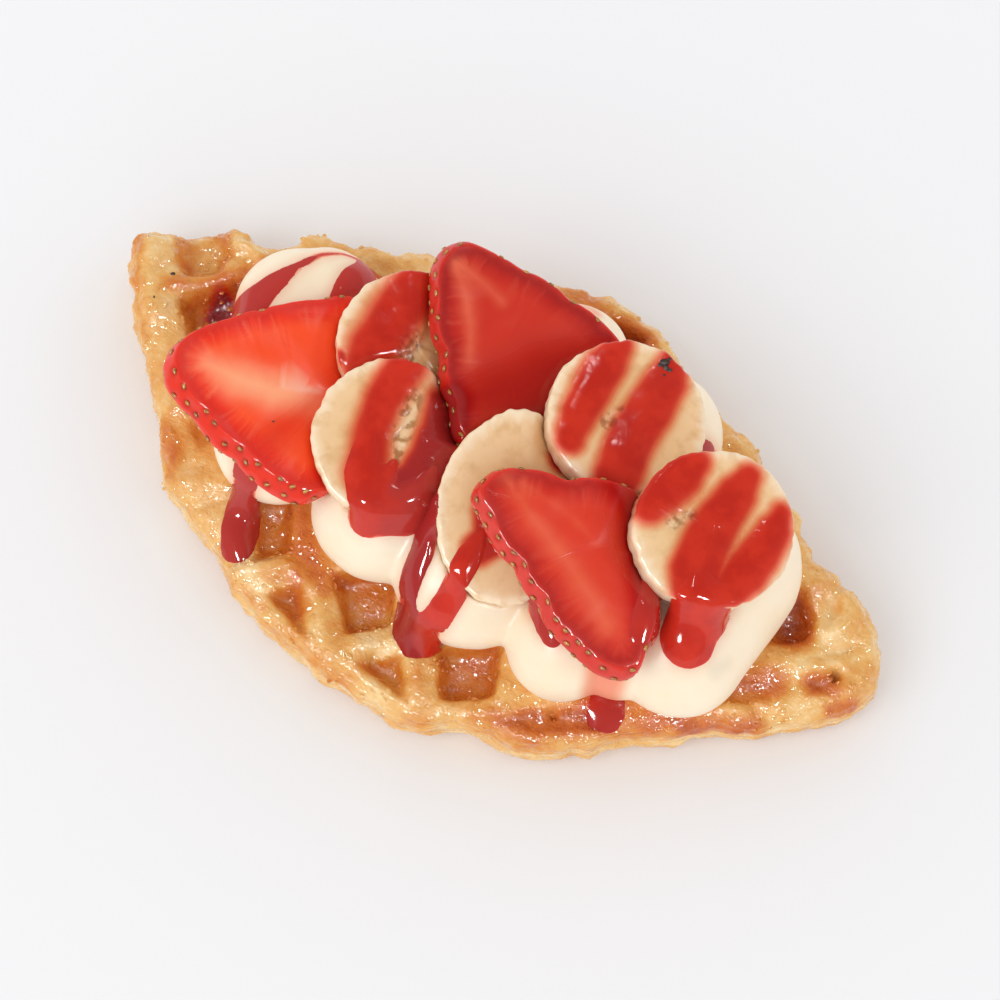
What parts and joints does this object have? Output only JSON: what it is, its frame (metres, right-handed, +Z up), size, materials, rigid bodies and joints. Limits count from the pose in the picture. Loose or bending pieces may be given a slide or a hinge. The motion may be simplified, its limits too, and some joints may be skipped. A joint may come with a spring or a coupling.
{
  "type": "croffle",
  "caption": "Croffle: a croissant pressed in a waffle iron, topped with piped cream, banana slices, strawberry slices and strawberry sauce.",
  "frame": {"origin": "centre of the underside of the dough, on the surface it rests on", "axes": "+X along the length of the croffle, +Y towards its back edge, +Z up through the toppings"},
  "size_m": [0.1694, 0.093, 0.046],
  "materials": {
    "dough": "browned flaky pastry with a thin glaze, amber in the pockets",
    "cream": "smooth ivory cream with a soft satin sheen",
    "banana": "moist cut banana, pale rim and tan core",
    "strawberry": "moist cut strawberry with a red skin and pale seeds"
  },
  "bodies": {
    "root": {"croffle": "dough", "cream": "cream", "strawberry_slice_1": "strawberry", "strawberry_slice_2": "strawberry", "strawberry_slice_3": "strawberry", "banana_slice_1": "banana", "banana_slice_2": "banana", "banana_slice_3": "banana", "banana_slice_4": "banana", "banana_slice_5": "banana"}
  },
  "joints": []
}
